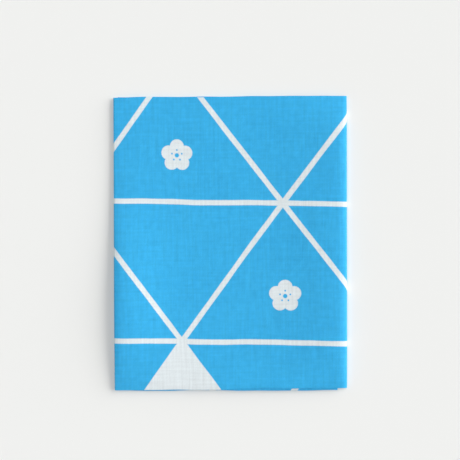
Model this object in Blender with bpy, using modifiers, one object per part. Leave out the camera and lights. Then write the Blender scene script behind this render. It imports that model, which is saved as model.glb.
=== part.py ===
"""A tenugui towel, folded flat: one cut length of plain-weave cotton.

The cloth is folded in half along its length, so that its two selvedges meet, and the doubled strip
is then folded in half twice, as a book is. The solid is that doubled strip, which lies back and forth
in four layers a little apart and is swept across the strip's width.

Metres, +Z up. The origin is the middle of the underside. The outer wrap stands at +X, the folded
edge that shows on top at -X, the selvedges at +Y and the lengthwise fold at -Y.
"""

import math
from typing import NamedTuple

import bmesh
import bpy

# The packet's outline, seen from above
PACKET_WIDTH = 0.1506
PACKET_DEPTH = 0.1900

# The doubled cloth, two plies with a little air between them, and the least gap between two layers
LAYER_THICKNESS = 0.0010
LAYER_GAP = 0.00034
LAYER_PITCH = LAYER_THICKNESS + LAYER_GAP

# How loosely the stack lies. It is pressed flat down the middle, each gap opens in a low ridge along
# either side, and further in the loose fold at the lower left. A higher power keeps the stack's
# height up until nearer the two ends of the packet
RIDGE_GAP = 0.00020
RIDGE_PLACES = (-0.058, 0.058)
RIDGE_SPREAD = 0.017
SLACK_GAP = 0.00036
SLACK_PLACE = (-0.062, -0.035)
SLACK_SPREAD = (0.030, 0.052)
END_POWER = 4
# A hand-folded strip wanders a little from side to side along its length
SIDE_SWAY = 0.00020
SWAY_WAVES = 7.0

# How finely the strip is divided
PANEL_STEPS = 19
TURN_STEPS = 7
WIDTH_STEPS = 16
SHARP_ANGLE = math.radians(50)

# Sky-blue dyed cotton
CLOTH_COLOUR = (0.050, 0.430, 0.800, 1.0)
CLOTH_ROUGHNESS = 0.9
CLOTH_METALLIC = 0.0

OBJECT_NAME = "tenugui_towel"
NODE_NAME = "towel_cloth"


class Station(NamedTuple):
    """A place where the strip ends or turns over, counted along the strip.

    The insets are measured inwards from the packet's outline, at the strip's lower (-Y) and upper (+Y)
    edge. Levels count layers from the surface up. The reaches are how far before the tip the strip
    leaves one level, and how far after it the strip comes to rest on the next.
    """

    name: str
    side: int
    tip_inset_lower: float
    tip_inset_upper: float
    edge_inset_lower: float
    edge_inset_upper: float
    level_in: float
    level_out: float
    tip_level: float
    reach_in: float
    reach_out: float


STATIONS = (
    #       name          side  tip lower  upper   edge lower  upper   in  out  tip   reach in  out
    Station("under end", -1, 0.00270, 0.00230, 0.00080, 0.00090, 0, 0, 0.0, 0.0, 0.0),
    Station("outer wrap", 1, 0.00000, 0.00040, 0.00230, 0.00040, 0, 3, 1.1, 0.0024, 0.0056),
    Station("top fold", -1, 0.00105, 0.00000, 0.00000, 0.00095, 3, 2, 2.45, 0.0010, 0.0007),
    Station("inner wrap", 1, 0.00580, 0.00600, 0.00035, 0.00000, 2, 1, 1.5, 0.0008, 0.0008),
    Station("inner end", -1, 0.00210, 0.00260, 0.00060, 0.00070, 1, 1, 1.0, 0.0, 0.0),
)


class Rib(NamedTuple):
    """One line across the strip: its place along X at either edge, its level and its two edges in Y."""

    x_lower: float
    x_upper: float
    level: float
    y_lower: float
    y_upper: float


def blend(start, end, share):
    """The value that lies this share of the way from start to end."""
    return start + (end - start) * share


def rib_at(station, setback, level):
    """The rib that stands this far back from a station's tip."""
    tip = PACKET_WIDTH / 2 - setback
    if station.reach_in or station.reach_out:
        tip -= LAYER_THICKNESS / 2
    return Rib(
        station.side * (tip - station.tip_inset_lower),
        station.side * (tip - station.tip_inset_upper),
        level,
        -(PACKET_DEPTH / 2 - station.edge_inset_lower),
        PACKET_DEPTH / 2 - station.edge_inset_upper,
    )


def turn_ribs(station):
    """The ribs round one turn: a quarter oval out to the tip, and another one back from it."""
    ribs = []
    for step in range(-TURN_STEPS, TURN_STEPS + 1):
        angle = abs(step) / TURN_STEPS * math.pi / 2
        reach = station.reach_in if step < 0 else station.reach_out
        level = station.level_in if step < 0 else station.level_out
        ribs.append(
            rib_at(
                station,
                reach * (1 - math.cos(angle)),
                blend(station.tip_level, level, math.sin(angle)),
            )
        )
    return ribs


def station_ribs(station):
    """The ribs of a turn, or the single rib of a cut end."""
    if station.level_in == station.level_out:
        return [rib_at(station, 0.0, station.level_in)]
    return turn_ribs(station)


def strip_ribs():
    """Every rib along the strip, with the flat panels divided evenly between the turns."""
    ribs = station_ribs(STATIONS[0])
    for station in STATIONS[1:]:
        arriving = station_ribs(station)
        leaving = ribs[-1]
        for step in range(1, PANEL_STEPS):
            share = step / PANEL_STEPS
            ribs.append(Rib(*(blend(a, b, share) for a, b in zip(leaving, arriving[0]))))
        ribs.extend(arriving)
    return ribs


def opened(x, y):
    """How far each gap has opened at this place, in metres."""
    ridges = sum(math.exp(-(((x - place) / RIDGE_SPREAD) ** 2)) for place in RIDGE_PLACES)
    away = math.hypot((x - SLACK_PLACE[0]) / SLACK_SPREAD[0], (y - SLACK_PLACE[1]) / SLACK_SPREAD[1])
    inside = max(1 - (2 * y / PACKET_DEPTH) ** END_POWER, 0.0)
    return inside * (RIDGE_GAP * ridges + SLACK_GAP * math.exp(-away * away))


def place(rib, share_along, share_across):
    """The point of the folded cloth's middle surface on one rib."""
    x = blend(rib.x_lower, rib.x_upper, share_across)
    y = blend(rib.y_lower, rib.y_upper, share_across)
    y += SIDE_SWAY * math.sin(math.tau * SWAY_WAVES * share_along)
    height = rib.level * (LAYER_PITCH + opened(x, y))
    return x, y, LAYER_THICKNESS / 2 + height


def folded_mesh():
    """A flat grid laid along the strip, folded rib by rib."""
    ribs = strip_ribs()
    columns = len(ribs) - 1
    cloth = bmesh.new()
    bmesh.ops.create_grid(cloth, x_segments=columns, y_segments=WIDTH_STEPS, size=1.0)
    for vertex in cloth.verts:
        share_along = (vertex.co.x + 1) / 2
        share_across = (vertex.co.y + 1) / 2
        rib = ribs[round(share_along * columns)]
        vertex.co = place(rib, share_along, share_across)
    mesh = bpy.data.meshes.new(NODE_NAME)
    cloth.to_mesh(mesh)
    cloth.free()
    mesh.shade_smooth()
    mesh.set_sharp_from_angle(angle=SHARP_ANGLE)
    return mesh


def cloth_material():
    """Dyed cotton in one plain blue."""
    material = bpy.data.materials.new("dyed_cotton")
    material.use_nodes = True
    surface = material.node_tree.nodes["Principled BSDF"]
    surface.inputs["Base Color"].default_value = CLOTH_COLOUR
    surface.inputs["Roughness"].default_value = CLOTH_ROUGHNESS
    surface.inputs["Metallic"].default_value = CLOTH_METALLIC
    material.diffuse_color = CLOTH_COLOUR
    return material


def add_thickness(towel):
    """Gives the folded surface its thickness, half on either side."""
    wall = towel.modifiers.new("thickness", "SOLIDIFY")
    wall.thickness = LAYER_THICKNESS
    wall.offset = 0.0
    wall.use_even_offset = True


def build_towel(collection):
    """The towel: one piece of cloth, its selvedges and cut ends part of it."""
    towel = bpy.data.objects.new(NODE_NAME, folded_mesh())
    collection.objects.link(towel)
    towel.data.materials.append(cloth_material())
    add_thickness(towel)
    return towel


def clear_scene():
    """Removes what the startup scene holds."""
    for leftover in list(bpy.data.objects):
        bpy.data.objects.remove(leftover, do_unlink=True)


def main():
    """Clears the scene and builds the folded towel in its own collection."""
    clear_scene()
    collection = bpy.data.collections.new(OBJECT_NAME)
    bpy.context.scene.collection.children.link(collection)
    build_towel(collection)


main()
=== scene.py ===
"""Looks for a folded tenugui towel: one cut length of dyed plain-weave cotton, eight plies thick.

The cloth is modelled as the thin sheet that it is. It is folded in half along its length, and the
doubled strip is folded twice, like a book, in the place of the frame's solid. The pattern is dyed right
through, so it is drawn on the flat cloth and follows every fold. All sizes are in metres.
"""

import logging
import math
from dataclasses import dataclass, field
from enum import Enum

import bpy
import numpy as np
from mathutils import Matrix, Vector


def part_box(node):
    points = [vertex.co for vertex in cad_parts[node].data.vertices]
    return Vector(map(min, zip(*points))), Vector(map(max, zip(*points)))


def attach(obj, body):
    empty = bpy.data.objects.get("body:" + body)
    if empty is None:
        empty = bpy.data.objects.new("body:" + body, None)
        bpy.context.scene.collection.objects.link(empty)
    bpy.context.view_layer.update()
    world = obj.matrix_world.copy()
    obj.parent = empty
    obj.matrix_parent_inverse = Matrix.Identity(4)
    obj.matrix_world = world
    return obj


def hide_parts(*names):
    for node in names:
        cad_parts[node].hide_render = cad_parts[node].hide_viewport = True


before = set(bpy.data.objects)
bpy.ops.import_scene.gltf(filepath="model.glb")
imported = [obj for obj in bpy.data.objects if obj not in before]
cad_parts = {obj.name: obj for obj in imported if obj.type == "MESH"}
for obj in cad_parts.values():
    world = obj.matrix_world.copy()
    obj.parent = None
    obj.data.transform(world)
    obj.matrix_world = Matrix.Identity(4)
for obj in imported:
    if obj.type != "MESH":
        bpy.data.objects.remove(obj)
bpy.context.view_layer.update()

LOG = logging.getLogger("tenugui")
NODE = "towel_cloth"
BODY = "root"
CLOTH_MAP = "flat_cloth"
WEAVE_GROUP = "plain_weave"
LATTICE_GROUP = "triangle_lattice"

Pair = tuple[float, float]
Triple = tuple[float, float, float]
Colour = tuple[float, float, float, float]
Socket = bpy.types.NodeSocket
Sockets = dict[str, Socket]
Value = Socket | float | tuple[float, ...]
Place = tuple[Value, Value]


def blend(start: float, end: float, share: float) -> float:
    """The value that lies this share of the way from start to end."""
    return start + (end - start) * share


class StationKind(Enum):
    """What the strip does where it is named."""

    CUT_END = "cut end"
    TURN = "turn"


@dataclass(frozen=True)
class Station:
    """A place where the doubled strip ends or turns over, counted along the strip.

    Insets run inwards from the packet's outline, at the lower (-Y) and upper (+Y) edge of the strip.
    Levels count layers up from the surface, and the reaches are how far before and after the tip
    the strip leaves one level and comes to rest on the next. A turn's squareness is the power of its
    outline: 2 is a plain oval, and more is squarer at the shoulder.
    """

    kind: StationKind
    side: int
    tip_insets: Pair
    edge_insets: Pair
    levels: Pair
    tip_level: float = 0.0
    reaches: Pair = (0.0, 0.0)
    squareness: float = 2.0


@dataclass(frozen=True)
class Swell:
    """A place where the loosely laid layers stand further apart, as a smooth mound."""

    place: Pair
    spread: Pair
    gap: float

    def opening(self, x: np.ndarray, y: np.ndarray) -> np.ndarray:
        """How much this mound adds to each gap between two layers."""
        away = ((x - self.place[0]) / self.spread[0]) ** 2 + ((y - self.place[1]) / self.spread[1]) ** 2
        return self.gap * np.exp(-away)


@dataclass(frozen=True)
class Ripple:
    """A gentle wave in the cloth, in radians for each panel along the strip and each metre across."""

    share: float
    along: float
    across: float
    start: float

    def height(self, along: np.ndarray, y: np.ndarray | float) -> np.ndarray:
        """The wave's height at these places."""
        return self.share * np.sin(self.along * along + self.across * y + self.start)


def rippled(ripples: tuple[Ripple, ...], along: np.ndarray, y: np.ndarray | float = 0.0) -> np.ndarray:
    """Several waves together, scaled so that they never pass 1."""
    return sum(ripple.height(along, y) for ripple in ripples) / sum(ripple.share for ripple in ripples)


@dataclass(frozen=True)
class Ribs:
    """The lines across the strip, one entry each.

    Each line has its places along X and in Y at the strip's lower and upper edge, its level, and how
    many panels of the strip lie before it.
    """

    x_lower: np.ndarray
    x_upper: np.ndarray
    y_lower: np.ndarray
    y_upper: np.ndarray
    level: np.ndarray
    panel: np.ndarray


@dataclass
class FoldPlan:
    """How the doubled strip lies back and forth: its levels, its turns and how loosely it is stacked.

    The layer is two plies with a little air between them, and the pitch is from one layer to the next
    where the stack is pressed flat.
    """

    width: float
    depth: float
    layer: float = 0.00050
    pitch: float = 0.00058
    left_ridge: Swell = Swell((-0.066, 0.0), (0.016, 1.0), 0.00010)
    right_ridge: Swell = Swell((0.074, 0.0), (0.034, 1.0), 0.00082)
    left_slack: Swell = Swell((-0.071, -0.041), (0.024, 0.057), 0.00130)
    right_slack: Swell = Swell((0.072, -0.040), (0.030, 0.060), 0.00022)
    loose_lower_edge: Swell = Swell((0.012, -0.1), (0.062, 0.030), 0.00044)
    end_power: int = 8
    side_sway: float = 0.00020
    sway_waves: float = 7.0
    edge_press: float = 0.22
    edge_reach: float = 0.0058
    wander: float = 0.35
    wander_edge: float = 0.022
    wander_inside: float = 0.25
    wander_ripples: tuple[Ripple, ...] = (Ripple(1.0, 9.1, 31.0, 0.0), Ripple(0.6, 23.0, -47.0, 1.3))
    hem_wander: float = 0.00016
    lower_hem: tuple[Ripple, ...] = (Ripple(1.0, 19.0, 0.0, 0.4), Ripple(0.5, 41.0, 0.0, 0.0))
    upper_hem: tuple[Ripple, ...] = (Ripple(1.0, 17.0, 0.0, 2.0), Ripple(0.5, 37.0, 0.0, 1.0))
    turn_steps: int = 9
    panel_steps: tuple[int, ...] = (38, 72, 38, 38)

    def stations(self) -> tuple[Station, ...]:
        """The strip's ends and turns, in order.

        Returns:
            The cut end underneath, the outer wrap, the top fold, the inner wrap and the cut end inside.
        """
        cut, turn = StationKind.CUT_END, StationKind.TURN
        # Kind, side, tip insets, edge insets and levels, then a turn's tip level, reaches and squareness
        return (
            Station(cut, -1, (0.0030, 0.0025), (0.0008, 0.0009), (0, 0)),
            Station(turn, 1, (-0.0003, -0.0001), (0.0021, -0.0003), (0, 3), 0.8, (0.0024, 0.0080), 2.8),
            Station(turn, -1, (0.00105, 0.0), (0.0003, 0.00095), (3, 2), 2.5, (0.0008, 0.0006)),
            Station(turn, 1, (0.0058, 0.0060), (0.00035, 0.0), (2, 1), 1.5, (0.0008, 0.0008)),
            Station(cut, -1, (0.0024, 0.0029), (0.0006, 0.0007), (1, 1)),
        )

    def rib_at(self, station: Station, setback: float, level: float) -> list[float]:
        """One rib that stands back from a station's tip.

        Args:
            station: the turn or cut end that the rib belongs to.
            setback: how far inwards from the tip it stands.
            level: the level of the strip there.

        Returns:
            Its lower and upper X, lower and upper Y, and level.
        """
        tip = self.width / 2 - setback
        if station.kind is StationKind.TURN:
            tip -= self.layer / 2
        return [
            station.side * (tip - station.tip_insets[0]),
            station.side * (tip - station.tip_insets[1]),
            -(self.depth / 2 - station.edge_insets[0]),
            self.depth / 2 - station.edge_insets[1],
            level,
        ]

    def station_ribs(self, station: Station) -> list[list[float]]:
        """The ribs of one station.

        Args:
            station: the turn or cut end.

        Returns:
            The ribs round a turn, as two quarter ovals that meet at its tip, or the one rib of a cut end.
        """
        if station.kind is StationKind.CUT_END:
            return [self.rib_at(station, 0.0, station.levels[0])]
        ribs = []
        power = 2 / station.squareness
        for step in range(-self.turn_steps, self.turn_steps + 1):
            angle = abs(step) / self.turn_steps * math.pi / 2
            after = step >= 0
            setback = station.reaches[after] * (1 - math.cos(angle) ** power)
            level = blend(station.tip_level, station.levels[after], math.sin(angle) ** power)
            ribs.append(self.rib_at(station, setback, level))
        return ribs

    def ribs(self) -> Ribs:
        """Lays out the whole strip.

        Returns:
            Every rib along it, with each flat panel divided into its own number of steps.
        """
        stations = self.stations()
        rows = self.station_ribs(stations[0])
        panels = [0.0] * len(rows)
        for number, (station, steps) in enumerate(zip(stations[1:], self.panel_steps)):
            arriving = self.station_ribs(station)
            leaving = rows[-1]
            for step in range(1, steps):
                share = step / steps
                rows.append([blend(a, b, share) for a, b in zip(leaving, arriving[0])])
                panels.append(number + share)
            rows.extend(arriving)
            panels.extend(number + 1.0 for _ in arriving)
        return Ribs(*np.array(rows).T, np.array(panels))

    def opened(self, x: np.ndarray, y: np.ndarray) -> np.ndarray:
        """How loosely the layers lie.

        Args:
            x: places along X.
            y: places along Y.

        Returns:
            How far each gap between two layers has opened there, in metres.
        """
        swells = (self.left_ridge, self.right_ridge, self.left_slack, self.right_slack)
        inside = np.maximum(1 - (2 * y / self.depth) ** self.end_power, 0.0)
        return inside * sum(swell.opening(x, y) for swell in swells) + self.loose_lower_edge.opening(x, y)

    def pressed(self, x: np.ndarray) -> np.ndarray:
        """How much of the slack the folded left edge takes back, as a share of it."""
        from_edge = np.clip((x + self.width / 2) / self.edge_reach, 0.0, 1.0)
        return self.edge_press * (1 - from_edge) ** 2

    def drift(self, along: np.ndarray, y: np.ndarray) -> np.ndarray:
        """How a layer wanders up and down in its gap, mostly near the two long edges.

        Args:
            along: places along the strip, in panels.
            y: places along Y.

        Returns:
            How far it has wandered there, as a share of the gap.
        """
        near_edge = np.clip((np.abs(y) - self.depth / 2 + self.wander_edge) / self.wander_edge, 0, 1)
        share = self.wander * blend(self.wander_inside, 1.0, near_edge)
        return share * rippled(self.wander_ripples, along, y)

    def middle(self, ribs: Ribs, share: np.ndarray, base: float) -> np.ndarray:
        """Points of the doubled strip's middle surface.

        Args:
            ribs: the ribs, n of them.
            share: the places across the strip, from 0 at the lower edge to 1 at the upper, m of them.
            base: the height of the lowest layer's middle above the surface.

        Returns:
            An array of n by m points.
        """
        level, along = ribs.level[:, None], ribs.panel[:, None]
        x = blend(ribs.x_lower[:, None], ribs.x_upper[:, None], share)
        y = blend(ribs.y_lower[:, None], ribs.y_upper[:, None], share)
        y = y + self.side_sway * np.sin(2 * math.pi * self.sway_waves * along / len(self.panel_steps))
        hems = blend(rippled(self.lower_hem, along), rippled(self.upper_hem, along), share)
        y = y + self.hem_wander * hems
        gap = self.pitch - self.layer + self.opened(x, y) * (1 - self.pressed(x))
        height = level * (self.layer + gap) + np.clip(level, 0.0, 1.0) * gap * self.drift(along, y)
        return np.stack([x, y, base + height], axis=-1)


@dataclass(frozen=True)
class StripLines:
    """The doubled strip's middle surface, ready for its two plies.

    Each of the n by m points has its outward direction and how sharply the strip turns there, and each
    of the m samples across the cloth has its side of the strip and how far it rounds the strip's edge.
    """

    middle: np.ndarray
    outward: np.ndarray
    turning: np.ndarray
    side: np.ndarray
    past: np.ndarray

    def stood_off(self, reach: float, tightest: float) -> np.ndarray:
        """The points at one distance from the middle surface, nearer to it inside a tight fold.

        Args:
            reach: the distance.
            tightest: the most that it may be inside a fold, as a share of the fold's own radius.

        Returns:
            An array of n by m points.
        """
        off = np.broadcast_to(self.side * reach, self.turning.shape)
        tight = off * self.turning < -tightest
        off = np.where(tight, -tightest / np.where(tight, self.turning, 1.0), off)
        points = self.middle + self.outward * off[..., None]
        points[..., 1] -= self.past * reach
        return points


@dataclass
class ClothSheet:
    """The towel itself: a single ply laid twice along the fold plan, joined at its lengthwise fold.

    half_apart is half the distance between the middles of the two plies, and strip is the doubled
    strip's width. Evenness says how evenly the samples are spread across it: less of it draws them
    towards the two edges.
    """

    plan: FoldPlan
    ply: float = 0.00023
    half_apart: float = 0.000135
    strip: float = 0.1888
    width_steps: int = 52
    evenness: float = 0.7
    round_steps: int = 8
    selvedge_insets: Pair = (0.0, 0.0006)
    rim_angle: float = math.radians(60)
    tightest: float = 0.3
    points: np.ndarray = field(init=False)
    faces: tuple[np.ndarray, np.ndarray] = field(init=False)
    flat: np.ndarray = field(init=False)

    def __post_init__(self) -> None:
        """Lays the cloth as soon as its sizes are known."""
        self.lay()

    @property
    def flat_width(self) -> float:
        """The cloth's width from selvedge to selvedge."""
        return 2 * self.strip + math.pi * self.half_apart - sum(self.selvedge_insets)

    @property
    def flat_length(self) -> float:
        """The cloth's length from cut end to cut end."""
        return float(self.flat[-1, 0, 0] - self.flat[0, 0, 0])

    def across(self) -> list[tuple[float, float, float, float]]:
        """Where the samples across the whole cloth lie on the doubled strip.

        Returns:
            For each sample, its share across the strip, how far it stands out of the middle surface and
            past the strip's edge in half distances, and its place across the flat cloth.
        """
        even = [step / self.width_steps for step in range(self.width_steps + 1)]
        shares = [blend((1 - math.cos(math.pi * share)) / 2, share, self.evenness) for share in even]
        outer, inner = (1 - inset / self.strip for inset in self.selvedge_insets)
        samples = [(outer * (1 - s), 1.0, 0.0, self.strip * (1 - outer * (1 - s))) for s in shares]
        for step in range(1, self.round_steps):
            angle = math.pi * step / self.round_steps
            samples.append((0.0, math.cos(angle), math.sin(angle), self.strip + angle * self.half_apart))
        start = self.strip + math.pi * self.half_apart
        samples.extend((inner * s, -1.0, 0.0, start + self.strip * inner * s) for s in shares)
        return samples

    def strip_lines(self, middle: np.ndarray, side: np.ndarray, past: np.ndarray) -> StripLines:
        """Finds which way is outward all along the strip.

        Args:
            middle: the middle surface, n by m points.
            side: the side of the strip that each of the m samples lies on.
            past: how far each of them rounds the strip's edge.

        Returns:
            The middle surface with its directions.
        """
        along = np.gradient(middle, axis=0)
        along[..., 1] = 0.0
        spacing = np.linalg.norm(along, axis=-1)
        along /= spacing[..., None]
        outward = np.cross(np.array([0.0, 1.0, 0.0]), along)
        turning = (np.gradient(outward, axis=0) * along).sum(axis=-1) / spacing
        return StripLines(middle, outward, turning, side, past)

    def lay(self) -> None:
        """Works out every point of the folded cloth, both its faces and its places on the flat cloth."""
        share, side, past, width_place = np.array(self.across()).T
        middle = self.plan.middle(self.plan.ribs(), share, self.half_apart + self.ply / 2)
        lines = self.strip_lines(middle, side, past)
        half = self.ply / 2
        reaches = (self.half_apart, self.half_apart + half, self.half_apart - half)
        self.points, *faces = (lines.stood_off(reach, self.tightest) for reach in reaches)
        self.faces = tuple(faces)
        centre = np.abs(share - 0.5).argmin()
        steps = np.linalg.norm(np.diff(middle[:, centre], axis=0), axis=-1)
        length_place = np.concatenate([[0.0], np.cumsum(steps)])
        self.flat = np.stack(np.broadcast_arrays(length_place[:, None], width_place[None, :]), axis=-1)

    def quads(self) -> np.ndarray:
        """Joins the points of the two faces into one closed skin.

        Returns:
            The corners of the two faces of the ply, its two selvedges and its two cut ends.
        """
        rows, columns = self.points.shape[:2]
        upper = np.arange(rows * columns).reshape(rows, columns)
        under = upper + rows * columns
        panels = [
            (upper[:-1, :-1], upper[1:, :-1], upper[1:, 1:], upper[:-1, 1:]),
            (under[:-1, :-1], under[:-1, 1:], under[1:, 1:], under[1:, :-1]),
            (upper[1:, 0], upper[:-1, 0], under[:-1, 0], under[1:, 0]),
            (upper[:-1, -1], upper[1:, -1], under[1:, -1], under[:-1, -1]),
            (upper[0, :-1], upper[0, 1:], under[0, 1:], under[0, :-1]),
            (upper[-1, 1:], upper[-1, :-1], under[-1, :-1], under[-1, 1:]),
        ]
        return np.concatenate([np.stack(corners, axis=-1).reshape(-1, 4) for corners in panels])

    def build(self, finish: "DyedCotton") -> bpy.types.Object:
        """Makes the folded sheet with its real thickness and dresses it.

        Args:
            finish: the dyed cotton to dress it in.

        Returns:
            The finished towel.
        """
        mesh = bpy.data.meshes.new("towel")
        mesh.from_pydata(np.concatenate(self.faces).reshape(-1, 3).tolist(), [], self.quads().tolist())
        places = np.tile(self.flat.reshape(-1, 2), (2, 1))
        corners = np.empty(len(mesh.loops), dtype=np.int32)
        mesh.loops.foreach_get("vertex_index", corners)
        cloth_map = mesh.uv_layers.new(name=CLOTH_MAP)
        cloth_map.data.foreach_set("uv", places[corners].astype(np.float32).ravel())
        mesh.shade_smooth()
        mesh.set_sharp_from_angle(angle=self.rim_angle)
        mesh.materials.append(finish.material())
        towel = bpy.data.objects.new("towel", mesh)
        bpy.context.scene.collection.objects.link(towel)
        return towel


def flattened(piece: bpy.types.Object) -> bpy.types.Object:
    """Replaces a piece by the plain mesh that its modifiers make of it.

    Args:
        piece: an object with live modifiers, at the origin.

    Returns:
        A new object of the same name with no modifiers.
    """
    graph = bpy.context.evaluated_depsgraph_get()
    mesh = bpy.data.meshes.new_from_object(piece.evaluated_get(graph))
    name = piece.name
    bpy.data.objects.remove(piece, do_unlink=True)
    plain = bpy.data.objects.new(name, mesh)
    mesh.name = name
    bpy.context.scene.collection.objects.link(plain)
    return plain


class Bench:
    """Lays shader nodes in a tree and joins them, so that a formula reads in order."""

    def __init__(self, tree: bpy.types.NodeTree) -> None:
        """Works on this node tree."""
        self.tree = tree

    def node(self, kind: str, fed: dict[str, Value] | None = None, **settings: object) -> bpy.types.Node:
        """Adds one node.

        Args:
            kind: the node's type.
            fed: what its inputs are to hold, by name.
            **settings: the properties to set on it.

        Returns:
            The new node.
        """
        made = self.tree.nodes.new(kind)
        for name, value in settings.items():
            setattr(made, name, value)
        for name, value in (fed or {}).items():
            self.feed(made.inputs[name], value)
        return made

    def feed(self, socket: Socket, value: Value) -> None:
        """Gives a socket what it is to hold.

        Args:
            socket: the input.
            value: another node's output, which is joined to it, or a plain value.
        """
        if isinstance(value, bpy.types.NodeSocket):
            self.tree.links.new(value, socket)
        else:
            socket.default_value = value

    def math(self, operation: str, *values: Value, clamp: bool = False) -> Socket:
        """Does one sum.

        Args:
            operation: the math node's operation.
            *values: what it works on.
            clamp: whether to keep the result from 0 to 1.

        Returns:
            The result.
        """
        made = self.node("ShaderNodeMath", operation=operation, use_clamp=clamp)
        for socket, value in zip(made.inputs, values):
            self.feed(socket, value)
        return made.outputs[0]

    def length_of(self, x: Value, y: Value) -> Socket:
        """How long a flat arrow with these two parts is."""
        return self.math("SQRT", self.math("ADD", self.math("MULTIPLY", x, x), self.math("MULTIPLY", y, y)))

    def split(self, vector: Value) -> tuple[Socket, Socket, Socket]:
        """The three numbers of a vector."""
        return tuple(self.node("ShaderNodeSeparateXYZ", {"Vector": vector}).outputs)

    def join(self, x: Value, y: Value, z: Value = 0.0) -> Socket:
        """A vector of these three numbers."""
        return self.node("ShaderNodeCombineXYZ", {"X": x, "Y": y, "Z": z}).outputs["Vector"]

    def noise(self, vector: Value, scale: float, detail: float = 2.0) -> Socket:
        """Soft noise over a flat place, from 0 to 1, with this many features to a unit."""
        fed = {"Vector": vector, "Scale": scale, "Detail": detail}
        return self.node("ShaderNodeTexNoise", fed, noise_dimensions="2D").outputs["Fac"]

    def swing(self, value: Value, amount: float) -> Socket:
        """A 0 to 1 value moved to run evenly about 0, times an amount."""
        return self.math("MULTIPLY", self.math("SUBTRACT", value, 0.5), 2 * amount)

    def step_down(self, value: Value, edge: Value, softness: float) -> Socket:
        """A soft step.

        Args:
            value: what is looked at.
            edge: where the step lies.
            softness: half the step's width.

        Returns:
            1 well below the edge and 0 well above it.
        """
        fed = {
            "Value": value,
            "From Min": self.math("SUBTRACT", edge, softness),
            "From Max": self.math("ADD", edge, softness),
            "To Min": 1.0,
            "To Max": 0.0,
        }
        return self.node("ShaderNodeMapRange", fed, interpolation_type="SMOOTHSTEP").outputs["Result"]

    def mix(self, share: Value, first: Value, second: Value, blend_type: str = "MIX") -> Socket:
        """Two colours mixed, with this share of the second over the first."""
        fed = {"Factor": share, "A": first, "B": second}
        return self.node("ShaderNodeMix", fed, data_type="RGBA", blend_type=blend_type).outputs["Result"]


def new_group(
    name: str, inputs: dict[str, float | None], outputs: tuple[str, ...]
) -> tuple[Bench, Sockets, Sockets]:
    """Starts a shader node group with named sockets.

    Args:
        name: the group's name.
        inputs: each input's name with its usual value, or None for a vector.
        outputs: the names of the values that it gives.

    Returns:
        A bench on the group's tree, its inputs' sockets and its outputs' sockets, by name.
    """
    tree = bpy.data.node_groups.new(name, "ShaderNodeTree")
    for label, usual in inputs.items():
        kind = "NodeSocketVector" if usual is None else "NodeSocketFloat"
        socket = tree.interface.new_socket(name=label, in_out="INPUT", socket_type=kind)
        if usual is not None:
            socket.default_value = usual
    for label in outputs:
        tree.interface.new_socket(name=label, in_out="OUTPUT", socket_type="NodeSocketFloat")
    bench = Bench(tree)
    entry = bench.node("NodeGroupInput")
    leave = bench.node("NodeGroupOutput")
    return bench, {s.name: s for s in entry.outputs if s.name}, {s.name: s for s in leave.inputs if s.name}


@dataclass(frozen=True)
class PlainWeave:
    """Plain weave: warp and weft pass over and under each other in turn, of slightly uneven yarn."""

    yarn_pitch: float = 0.00046
    crossing_dip: float = 0.4
    wobble: float = 0.10
    wobble_scale: float = 900.0
    slub_thickness: float = 0.0014
    slub_length: float = 0.022
    slub_detail: float = 3.0

    def group(self) -> bpy.types.NodeTree:
        """Builds the shared node group.

        Returns:
            The group, which gives the weave's height and how thick the weft and the warp are at a place.
        """
        bench, given, wanted = new_group(
            WEAVE_GROUP, {"Cloth": None, "Yarn Pitch": self.yarn_pitch}, ("Height", "Slub", "Yarn")
        )
        length, width, _ = bench.split(given["Cloth"])
        wander = bench.swing(bench.noise(given["Cloth"], self.wobble_scale), self.wobble)
        a = bench.math("ADD", bench.math("DIVIDE", length, given["Yarn Pitch"]), wander)
        b = bench.math("ADD", bench.math("DIVIDE", width, given["Yarn Pitch"]), wander)
        warp = self.yarn_height(bench, b, a, 0.0)
        weft = self.yarn_height(bench, a, b, math.pi)
        bench.feed(wanted["Height"], bench.math("MAXIMUM", warp, weft))
        thin, long = self.slub_thickness, self.slub_length
        bench.feed(wanted["Slub"], self.streaks(bench, length, width, thin, long))
        bench.feed(wanted["Yarn"], self.streaks(bench, length, width, long, thin))
        return bench.tree

    def streaks(self, bench: Bench, length: Value, width: Value, along: float, across: float) -> Socket:
        """Long soft streaks of this size along and across the cloth, from 0 to 1."""
        place = bench.join(bench.math("DIVIDE", length, along), bench.math("DIVIDE", width, across))
        return bench.noise(place, 1.0, self.slub_detail)

    def yarn_height(self, bench: Bench, across: Value, along: Value, turn: float) -> Socket:
        """How high one set of yarns stands.

        Args:
            bench: lays the nodes.
            across: the place across these yarns, in yarns.
            along: the place along them, in yarns of the other set.
            turn: 0 for the yarns that start on top, and half a turn for the others.

        Returns:
            Their height, from 0 in a gap to 1 on a crown.
        """
        round_top = bench.math("ABSOLUTE", bench.math("SINE", bench.math("MULTIPLY", across, math.pi)))
        row = bench.math("MULTIPLY", bench.math("FLOOR", across), math.pi)
        phase = bench.math("ADD", bench.math("MULTIPLY", along, math.pi), bench.math("ADD", row, turn))
        dip = self.crossing_dip
        rise = bench.math("MULTIPLY_ADD", bench.math("COSINE", phase), dip, 1 - dip)
        return bench.math("MULTIPLY", round_top, rise)


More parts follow.
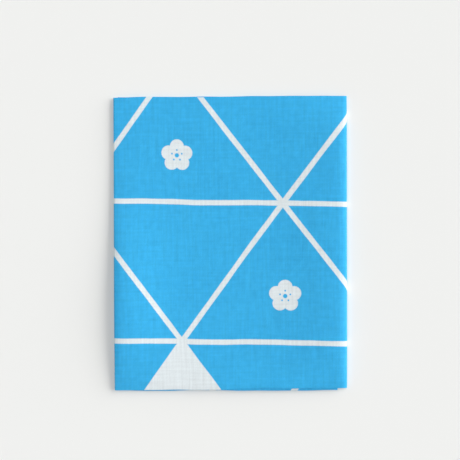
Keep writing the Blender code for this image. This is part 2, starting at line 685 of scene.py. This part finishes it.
@dataclass(frozen=True)
class LatticePattern:
    """Off-white lines left undyed in a lattice of tall triangles that point down and up in turn.

    Of the upward cells, one in each repeat is white and the others hold a blossom. Places are on the
    flat cloth: along its length first, then across its width. The row step runs from one crossing to
    the next in a row, and the down step from a crossing to the row below. The lines drift a little
    along the cloth, as a stencil laid by hand does.
    """

    crossing: Pair = (0.19147, 0.06932)
    row_step: Pair = (-0.13501, 0.00312)
    down_step: Pair = (0.06543, 0.08850)
    line_half: float = 0.00168
    softness: float = 0.00032
    feathering: float = 0.00016
    feather_scale: float = 1300.0
    feather_detail: float = 3.0
    swell_scale: float = 60.0
    swell_detail: float = 1.0
    hand_drift: float = 0.00104
    hand_drift_length: float = 0.252
    hand_drift_start: float = -0.09600
    repeat: int = 5
    row_shift: int = 3
    white_place: int = 3
    petal_ring: float = 0.0058
    petal_radius: float = 0.0046
    eye_radius: float = 0.0014
    stamen_ring: float = 0.0034
    stamen_radius: float = 0.00055
    petals: int = 5

    @property
    def cell_area(self) -> float:
        """The signed area of one cell of the lattice, two triangles."""
        return self.row_step[0] * self.down_step[1] - self.row_step[1] * self.down_step[0]

    def group(self) -> bpy.types.NodeTree:
        """Builds the shared node group.

        Returns:
            The group, which gives 0 in the dyed ground and 1 where the cloth was left undyed.
        """
        bench, given, wanted = new_group(LATTICE_GROUP, {"Cloth": None}, ("Undyed",))
        i, j = self.lattice_place(bench, given["Cloth"])
        edge_noise = self.ragged_edge(bench, given["Cloth"])
        nearest = self.nearest_line(bench, i, j)
        line = bench.step_down(bench.math("ADD", nearest, edge_noise), self.line_half, self.softness)
        up_cell, which = self.cell_of(bench, i, j)
        white = bench.math("MULTIPLY", up_cell, bench.math("COMPARE", which, float(self.white_place), 0.5))
        flower = bench.math("MULTIPLY", up_cell, bench.math("SUBTRACT", 1.0, white))
        blossom = self.blossom(bench, i, j, edge_noise)
        undyed = bench.math("MAXIMUM", line, bench.math("MULTIPLY", flower, blossom))
        bench.feed(wanted["Undyed"], bench.math("MAXIMUM", undyed, white))
        return bench.tree

    def lattice_place(self, bench: Bench, cloth: Value) -> tuple[Socket, Socket]:
        """A place counted in steps of the lattice from the named crossing, after the drift of the hand.

        Args:
            bench: lays the nodes.
            cloth: the place on the flat cloth.

        Returns:
            The row steps and the down steps to it.
        """
        length, width, _ = bench.split(cloth)
        turns = 2 * math.pi / self.hand_drift_length
        at_crossing = self.hand_drift * math.sin(self.hand_drift_start * turns)
        phase = bench.math("ADD", length, self.hand_drift_start - self.crossing[0])
        drift = bench.math("SINE", bench.math("MULTIPLY", phase, turns))
        moved = bench.math("MULTIPLY_ADD", drift, self.hand_drift, length)
        u = bench.math("SUBTRACT", moved, self.crossing[0] + at_crossing)
        v = bench.math("SUBTRACT", width, self.crossing[1])
        (ax, ay), (bx, by) = self.row_step, self.down_step
        area = self.cell_area
        i = bench.math("MULTIPLY_ADD", u, by / area, bench.math("MULTIPLY", v, -bx / area))
        j = bench.math("MULTIPLY_ADD", u, -ay / area, bench.math("MULTIPLY", v, ax / area))
        return i, j

    def nearest_line(self, bench: Bench, i: Value, j: Value) -> Socket:
        """How far a place is from the nearest line of all three families.

        Args:
            bench: lays the nodes.
            i: the row steps to the place.
            j: the down steps to it.

        Returns:
            The distance, in metres.
        """
        both_steps = (self.row_step[0] + self.down_step[0], self.row_step[1] + self.down_step[1])
        families = ((i, self.down_step), (bench.math("SUBTRACT", i, j), both_steps), (j, self.row_step))
        distances = []
        for place, step in families:
            spacing = abs(self.cell_area) / math.hypot(*step)
            off = bench.math("ABSOLUTE", bench.math("SUBTRACT", place, bench.math("ROUND", place)))
            distances.append(bench.math("MULTIPLY", off, spacing))
        falling, rising, level = distances
        return bench.math("MINIMUM", bench.math("MINIMUM", falling, rising), level)

    def ragged_edge(self, bench: Bench, cloth: Value) -> Socket:
        """How far the dye crept at an edge: finely from yarn to yarn, and slowly along a line."""
        sizes = ((self.feather_scale, self.feather_detail), (self.swell_scale, self.swell_detail))
        return bench.math("ADD", *(bench.swing(bench.noise(cloth, *s), self.feathering) for s in sizes))

    def cell_of(self, bench: Bench, i: Value, j: Value) -> tuple[Socket, Socket]:
        """Which triangle a place lies in.

        Args:
            bench: lays the nodes.
            i: the row steps to the place.
            j: the down steps to it.

        Returns:
            1 in a triangle that points up and 0 in the others, and the triangle's place in the repeat.
        """
        up_cell = bench.math("GREATER_THAN", bench.math("FRACT", j), bench.math("FRACT", i))
        row = bench.math("FLOOR", j)
        count = bench.math("MULTIPLY_ADD", row, float(self.row_shift), bench.math("FLOOR", i))
        return up_cell, bench.math("FLOORED_MODULO", count, float(self.repeat))

    def blossom(self, bench: Bench, i: Value, j: Value, edge_noise: Value) -> Socket:
        """A flower of round petals about the middle of an upward triangle, with a dyed eye and stamens.

        Args:
            bench: lays the nodes.
            i: the row steps to the place.
            j: the down steps to it.
            edge_noise: how far the dye crept there.

        Returns:
            1 in the flower and 0 outside it.
        """
        (ax, ay), (bx, by) = self.row_step, self.down_step
        p = bench.math("SUBTRACT", bench.math("FRACT", i), 1 / 3)
        q = bench.math("SUBTRACT", bench.math("FRACT", j), 2 / 3)
        x = bench.math("MULTIPLY_ADD", p, ax, bench.math("MULTIPLY", q, bx))
        y = bench.math("MULTIPLY_ADD", p, ay, bench.math("MULTIPLY", q, by))
        radius = bench.length_of(x, y)
        turn = 2 * math.pi / self.petals
        angle = bench.math("ARCTAN2", x, bench.math("MULTIPLY", y, -1.0))
        in_petal = bench.math("FLOORED_MODULO", bench.math("ADD", angle, turn / 2), turn)
        petal_angle = bench.math("SUBTRACT", in_petal, turn / 2)
        petal = self.disc(bench, (radius, petal_angle), self.petal_ring, self.petal_radius, edge_noise)
        stamen = self.disc(bench, (radius, petal_angle), self.stamen_ring, self.stamen_radius, 0.0)
        eye = bench.step_down(radius, self.eye_radius, self.softness)
        heart = bench.step_down(radius, self.petal_ring - self.petal_radius / 2, self.softness)
        shape = bench.math("MAXIMUM", petal, heart)
        dyed = bench.math("MAXIMUM", eye, stamen)
        return bench.math("MULTIPLY", shape, bench.math("SUBTRACT", 1.0, dyed))

    def disc(self, bench: Bench, place: Place, ring: float, size: float, noise: Value) -> Socket:
        """A round spot whose middle lies on a ring about the flower's centre.

        Args:
            bench: lays the nodes.
            place: the place, as its radius and its angle from the middle of the petal.
            ring: the ring's radius.
            size: the spot's radius.
            noise: how far the dye crept there.

        Returns:
            1 in the spot and 0 outside it.
        """
        radius, angle = place
        x = bench.math("SUBTRACT", bench.math("MULTIPLY", radius, bench.math("COSINE", angle)), ring)
        y = bench.math("MULTIPLY", radius, bench.math("SINE", angle))
        return bench.step_down(bench.math("ADD", bench.length_of(x, y), noise), size, self.softness)


@dataclass(frozen=True)
class DyedCotton:
    """Sky-blue dyed cotton with undyed lines, matt, with a faint bloom of fibre.

    A shade is a slope and a floor: a value from 0 to 1 multiplies the colour by the slope times the
    value plus the floor.
    """

    pattern: LatticePattern
    weave: PlainWeave
    blue: Colour = (0.046, 0.470, 0.860, 1.0)
    deep_blue: Colour = (0.028, 0.370, 0.745, 1.0)
    worn_blue: Colour = (0.220, 0.600, 0.870, 1.0)
    undyed: Colour = (0.790, 0.855, 0.880, 1.0)
    cloud_scale: float = 26.0
    cloud_detail: float = 3.0
    mottle_scale: float = 260.0
    mottle_strength: float = 2.6
    dye_depth: float = 0.35
    slub_shade: Pair = (0.20, 0.90)
    yarn_shade: Pair = (0.16, 0.92)
    # Painted shade of the weave: darkens the colour in the gaps between the yarns.
    weave_gap_painted_shade: Pair = (0.22, 0.84)
    roughness: float = 0.92
    roughness_swing: float = 0.06
    gloss: float = 0.2
    sheen: float = 0.10
    sheen_roughness: float = 0.5
    relief: float = 0.00009
    slub_relief: float = 0.00005
    fleck_scale: float = 700.0
    fleck_detail: float = 3.0
    fibre_scale: float = 4000.0

    def material(self) -> bpy.types.Material:
        """Makes the cloth's material, on the flat cloth's own places.

        Returns:
            The material.
        """
        made = bpy.data.materials.new("dyed_plain_weave_cotton")
        made.use_nodes = True
        made.node_tree.nodes.clear()
        bench = Bench(made.node_tree)
        cloth = bench.node("ShaderNodeUVMap", uv_map=CLOTH_MAP).outputs["UV"]
        weave = bench.node("ShaderNodeGroup", {"Cloth": cloth}, node_tree=self.weave.group())
        lattice = bench.node("ShaderNodeGroup", {"Cloth": cloth}, node_tree=self.pattern.group())
        bump = bench.node("ShaderNodeBump", {"Distance": 1.0, "Height": self.height(bench, weave)})
        least = self.roughness - self.roughness_swing / 2
        fed = {
            "Base Color": self.colour(bench, cloth, weave, lattice),
            "Normal": bump.outputs["Normal"],
            "Roughness": bench.math("MULTIPLY_ADD", weave.outputs["Slub"], self.roughness_swing, least),
            "Sheen Weight": self.sheen,
            "Sheen Roughness": self.sheen_roughness,
            "Specular IOR Level": self.gloss,
        }
        surface = bench.node("ShaderNodeBsdfPrincipled", fed)
        bench.node("ShaderNodeOutputMaterial", {"Surface": surface.outputs["BSDF"]})
        return made

    def colour(self, bench: Bench, cloth: Value, weave: bpy.types.Node, lattice: bpy.types.Node) -> Socket:
        """The dyed ground, uneven as hand dyeing is, under the undyed lines, with painted weave shade
        between the yarns.

        Args:
            bench: lays the nodes.
            cloth: the place on the flat cloth.
            weave: the weave's group in this material.
            lattice: the pattern's group in this material.

        Returns:
            The cloth's colour.
        """
        cloudy = bench.noise(cloth, self.cloud_scale, self.cloud_detail)
        mottled = bench.math("SUBTRACT", bench.noise(cloth, self.mottle_scale), 0.5)
        uneven = bench.math("MULTIPLY_ADD", mottled, self.mottle_strength, cloudy)
        depth = bench.math("MULTIPLY", uneven, self.dye_depth, clamp=True)
        ground = bench.mix(depth, self.blue, self.deep_blue)
        slub = bench.math("MULTIPLY_ADD", weave.outputs["Slub"], *self.slub_shade)
        yarn = bench.math("MULTIPLY_ADD", weave.outputs["Yarn"], *self.yarn_shade)
        # Painted shade: the colour is darker where the weave is low, in the gaps between the yarns.
        crown = bench.math("MULTIPLY_ADD", weave.outputs["Height"], *self.weave_gap_painted_shade)
        # The slub and yarn streaks are the yarn's own uneven tone; the crown term is painted shade.
        streaks_and_painted_shade = bench.math("MULTIPLY", bench.math("MULTIPLY", slub, yarn), crown)
        dyed = bench.mix(lattice.outputs["Undyed"], ground, self.undyed)
        return bench.mix(1.0, dyed, bench.join(streaks_and_painted_shade, streaks_and_painted_shade, streaks_and_painted_shade), "MULTIPLY")

    def height(self, bench: Bench, weave: bpy.types.Node) -> Socket:
        """The cloth's fine relief, in metres."""
        fine = bench.math("MULTIPLY", weave.outputs["Height"], self.relief)
        return bench.math("MULTIPLY_ADD", weave.outputs["Slub"], self.slub_relief, fine)

    def yarn_material(self) -> bpy.types.Material:
        """Makes the same cotton for loose yarn ends, dyed or undyed as the cloth is where each leaves it.

        Returns:
            The material.
        """
        made = bpy.data.materials.new("loose_cotton_yarn")
        made.use_nodes = True
        bench = Bench(made.node_tree)
        surface = made.node_tree.nodes["Principled BSDF"]
        cloth = bench.node("ShaderNodeAttribute", attribute_name=CLOTH_MAP).outputs["Vector"]
        undyed_group = bpy.data.node_groups[LATTICE_GROUP]
        lattice = bench.node("ShaderNodeGroup", {"Cloth": cloth}, node_tree=undyed_group)
        place = bench.node("ShaderNodeTexCoord").outputs["Object"]
        flecks = bench.noise(place, self.fleck_scale, self.fleck_detail)
        dyed = bench.mix(flecks, self.blue, self.worn_blue)
        bench.feed(surface.inputs["Base Color"], bench.mix(lattice.outputs["Undyed"], dyed, self.undyed))
        fibres = {"Distance": self.slub_relief, "Height": bench.noise(place, self.fibre_scale)}
        bump = bench.node("ShaderNodeBump", fibres)
        bench.feed(surface.inputs["Normal"], bump.outputs["Normal"])
        surface.inputs["Roughness"].default_value = self.roughness
        surface.inputs["Sheen Weight"].default_value = self.sheen
        return made


@dataclass
class FrayedEnds:
    """Short loose warp ends that stand out of the two raw cut ends, made by a node tree.

    A yarn leaves the edge towards -X. The bend and the end are shares of its length: how far out, how
    far to the side and how far up. Each yarn is turned by up to the turns about X, Y and Z, and scaled
    between the least and the most.
    """

    sheet: ClothSheet
    spacing: float = 0.0010
    length: float = 0.0021
    radius: float = 0.00010
    seed: int = 11
    root: float = 0.0002
    bend: Triple = (0.55, 0.0, -0.10)
    end: Triple = (1.0, 0.22, -0.02)
    turns: Triple = (1.9, 0.16, 0.55)
    least_scale: Triple = (0.25, 0.8, 0.8)
    most_scale: Triple = (1.0, 1.2, 1.2)
    least_height: float = 0.00002
    yarn_steps: int = 4
    yarn_sides: int = 4

    def edge_curve(self) -> bpy.types.Object:
        """Traces the two cut edges of the folded cloth.

        Returns:
            Two chains of edges that know their places on the flat cloth.
        """
        first, last = self.sheet.points[0], self.sheet.points[-1]
        count = len(first)
        edges = [(n, n + 1) for n in range(2 * count - 1) if n != count - 1]
        mesh = bpy.data.meshes.new("frayed_ends")
        mesh.from_pydata(np.concatenate([first, last]).tolist(), edges, [])
        places = np.zeros((2 * count, 3), dtype=np.float32)
        places[:, :2] = np.concatenate([self.sheet.flat[0], self.sheet.flat[-1]])
        mesh.attributes.new(CLOTH_MAP, "FLOAT_VECTOR", "POINT").data.foreach_set("vector", places.ravel())
        piece = bpy.data.objects.new("frayed_ends", mesh)
        bpy.context.scene.collection.objects.link(piece)
        return piece

    def tree(self) -> bpy.types.GeometryNodeTree:
        """Builds the node tree that stands a bent yarn at each step along an edge.

        Returns:
            The tree, with its sizes and its seed as named inputs.
        """
        tree = bpy.data.node_groups.new("frayed_edge", "GeometryNodeTree")
        sockets = (
            ("Edges", "INPUT", "NodeSocketGeometry"),
            ("Spacing", "INPUT", "NodeSocketFloat"),
            ("Length", "INPUT", "NodeSocketFloat"),
            ("Radius", "INPUT", "NodeSocketFloat"),
            ("Seed", "INPUT", "NodeSocketInt"),
            ("Yarn", "INPUT", "NodeSocketMaterial"),
            ("Yarns", "OUTPUT", "NodeSocketGeometry"),
        )
        for name, way, kind in sockets:
            tree.interface.new_socket(name=name, in_out=way, socket_type=kind)
        bench = Bench(tree)
        entry = bench.node("NodeGroupInput").outputs
        line = bench.node("GeometryNodeMeshToCurve", {"Mesh": entry["Edges"]})
        along = {"Curve": line.outputs["Curve"], "Length": entry["Spacing"]}
        spots = bench.node("GeometryNodeResampleCurve", along, mode="LENGTH")
        turned_back = tuple(-turn for turn in self.turns)
        standing = {
            "Points": spots.outputs["Curve"],
            "Instance": self.bent_yarn(bench, entry),
            "Rotation": self.random_vector(bench, entry, turned_back, self.turns, 0),
            "Scale": self.random_vector(bench, entry, self.least_scale, self.most_scale, 1),
        }
        stand = bench.node("GeometryNodeInstanceOnPoints", standing)
        loose = bench.node("GeometryNodeRealizeInstances", {"Geometry": stand.outputs["Instances"]})
        kept = self.kept_above(bench, loose.outputs["Geometry"])
        dressed = bench.node("GeometryNodeSetMaterial", {"Geometry": kept, "Material": entry["Yarn"]})
        bench.node("NodeGroupOutput", {"Yarns": dressed.outputs["Geometry"]})
        return tree

    def bent_yarn(self, bench: Bench, entry: bpy.types.NodeOutputs) -> Socket:
        """Makes one short yarn that bends a little.

        Args:
            bench: lays the nodes.
            entry: the tree's inputs.

        Returns:
            The yarn's mesh.
        """
        away = bench.math("MULTIPLY", entry["Length"], -1.0)
        middle, tip = (
            bench.join(*(bench.math("MULTIPLY", away, share) for share in shares))
            for shares in (self.bend, self.end)
        )
        path = {"Resolution": self.yarn_steps, "Start": (self.root, 0.0, 0.0), "Middle": middle, "End": tip}
        bend = bench.node("GeometryNodeCurveQuadraticBezier", path)
        round_it = {"Resolution": self.yarn_sides, "Radius": entry["Radius"]}
        ring = bench.node("GeometryNodeCurvePrimitiveCircle", round_it)
        swept = {"Curve": bend.outputs["Curve"], "Profile Curve": ring.outputs["Curve"], "Fill Caps": True}
        return bench.node("GeometryNodeCurveToMesh", swept).outputs["Mesh"]

    def random_vector(
        self, bench: Bench, entry: bpy.types.NodeOutputs, low: Triple, high: Triple, shift: int
    ) -> Socket:
        """Draws a vector for each yarn between these two, with the seed moved on by the shift."""
        fed = {"Min": low, "Max": high, "Seed": bench.math("ADD", entry["Seed"], float(shift))}
        return bench.node("FunctionNodeRandomValue", fed, data_type="FLOAT_VECTOR").outputs["Value"]

    def kept_above(self, bench: Bench, yarns: Socket) -> Socket:
        """Lifts what would reach below the surface that the towel lies on.

        Args:
            bench: lays the nodes.
            yarns: the yarns.

        Returns:
            The same yarns, none of them lower than the least height.
        """
        x, y, z = bench.split(bench.node("GeometryNodeInputPosition").outputs["Position"])
        place = bench.join(x, y, bench.math("MAXIMUM", z, self.least_height))
        moved = bench.node("GeometryNodeSetPosition", {"Geometry": yarns, "Position": place})
        return moved.outputs["Geometry"]

    def build(self, finish: DyedCotton) -> bpy.types.Object:
        """Makes the yarns and turns them into a plain mesh.

        Args:
            finish: the dyed cotton that they are of.

        Returns:
            The finished yarns, as one piece.
        """
        piece = self.edge_curve()
        tree = self.tree()
        maker = piece.modifiers.new("fray", "NODES")
        maker.node_group = tree
        values = {
            "Spacing": self.spacing,
            "Length": self.length,
            "Radius": self.radius,
            "Seed": self.seed,
            "Yarn": finish.yarn_material(),
        }
        for socket in tree.interface.items_tree:
            if socket.name in values:
                maker[socket.identifier] = values[socket.name]
        piece = flattened(piece)
        piece.data.shade_smooth()
        return piece


@dataclass(frozen=True)
class SoftLight:
    """A broad far light: its strength, how high it stands, its bearing from +X and how wide it looks."""

    name: str
    strength: float
    height: float
    bearing: float
    spread: float

    def build(self) -> None:
        """Hangs the light."""
        lamp = bpy.data.lights.new(self.name, "SUN")
        lamp.energy = self.strength
        lamp.angle = math.radians(self.spread)
        light = bpy.data.objects.new(self.name, lamp)
        height, bearing = math.radians(self.height), math.radians(self.bearing)
        flat = math.cos(height)
        light.location = (flat * math.cos(bearing), flat * math.sin(bearing), math.sin(height))
        light.rotation_euler = light.location.to_track_quat("Z", "Y").to_euler()
        bpy.context.scene.collection.objects.link(light)


@dataclass(frozen=True)
class Studio:
    """A plain pale floor under soft light from the right and above, seen from straight above.

    The span is the width of the view at the scale height, which is about half the towel's height.
    """

    span: float = 0.2962
    scale_height: float = 0.0035
    view_centre: Pair = (0.0, 0.0086)
    lens: float = 85.0
    sensor: float = 36.0
    floor_size: float = 40.0
    floor_tone: Colour = (0.86, 0.865, 0.85, 1.0)
    floor_roughness: float = 0.9
    floor_gloss: float = 0.1
    sky_tone: Colour = (0.251, 0.251, 0.251, 1.0)
    backdrop_tone: Colour = (0.871, 0.880, 0.863, 1.0)
    window: SoftLight = SoftLight("window", 4.75, 14.0, 20.0, 64.0)
    ceiling: SoftLight = SoftLight("ceiling", 1.13, 78.0, 170.0, 40.0)

    def build(self) -> None:
        """Sets the floor, the lights and the camera."""
        bpy.context.scene.view_settings.view_transform = "Standard"
        self.floor()
        self.lights()
        self.camera()

    def floor(self) -> None:
        """A pale matt sheet that the towel lies on."""
        half = self.floor_size / 2
        mesh = bpy.data.meshes.new("floor")
        corners = [(-half, -half, 0), (half, -half, 0), (half, half, 0), (-half, half, 0)]
        mesh.from_pydata(corners, [], [(0, 1, 2, 3)])
        sheet = bpy.data.objects.new("floor", mesh)
        bpy.context.scene.collection.objects.link(sheet)
        finish = bpy.data.materials.new("pale_floor")
        finish.use_nodes = True
        surface = finish.node_tree.nodes["Principled BSDF"]
        surface.inputs["Base Color"].default_value = self.floor_tone
        surface.inputs["Roughness"].default_value = self.floor_roughness
        surface.inputs["Specular IOR Level"].default_value = self.floor_gloss
        mesh.materials.append(finish)

    def lights(self) -> None:
        """Faint light from all round, a large window at the right and a bright ceiling.

        The backdrop past the floor is seen as pale as the floor, but lights the towel only as the sky does.
        """
        world = bpy.data.worlds.new("studio")
        world.use_nodes = True
        bench = Bench(world.node_tree)
        seen = bench.node("ShaderNodeLightPath").outputs["Is Camera Ray"]
        background = world.node_tree.nodes["Background"]
        bench.feed(background.inputs["Color"], bench.mix(seen, self.sky_tone, self.backdrop_tone))
        bpy.context.scene.world = world
        self.window.build()
        self.ceiling.build()

    def camera(self) -> None:
        """A camera that looks straight down."""
        lens = bpy.data.cameras.new("camera")
        lens.lens = self.lens
        lens.sensor_width = self.sensor
        eye = bpy.data.objects.new("camera", lens)
        eye.location = (*self.view_centre, self.scale_height + self.span * self.lens / self.sensor)
        bpy.context.scene.collection.objects.link(eye)
        bpy.context.scene.camera = eye


def main() -> None:
    """Builds the towel, dresses it and sets the stage."""
    logging.basicConfig(level=logging.INFO, format="%(name)s: %(message)s")
    low, high = (Vector(corner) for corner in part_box(NODE))
    plan = FoldPlan(width=high.x - low.x, depth=high.y - low.y - 2 * FoldPlan.side_sway)
    sheet = ClothSheet(plan)
    finish = DyedCotton(LatticePattern(), PlainWeave())
    towel = sheet.build(finish)
    fray = FrayedEnds(sheet).build(finish)
    for piece in (towel, fray):
        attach(piece, BODY)
        LOG.info("%s: %d faces", piece.name, len(piece.data.polygons))
    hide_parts(NODE)
    Studio().build()


if __name__ == "__main__":
    main()
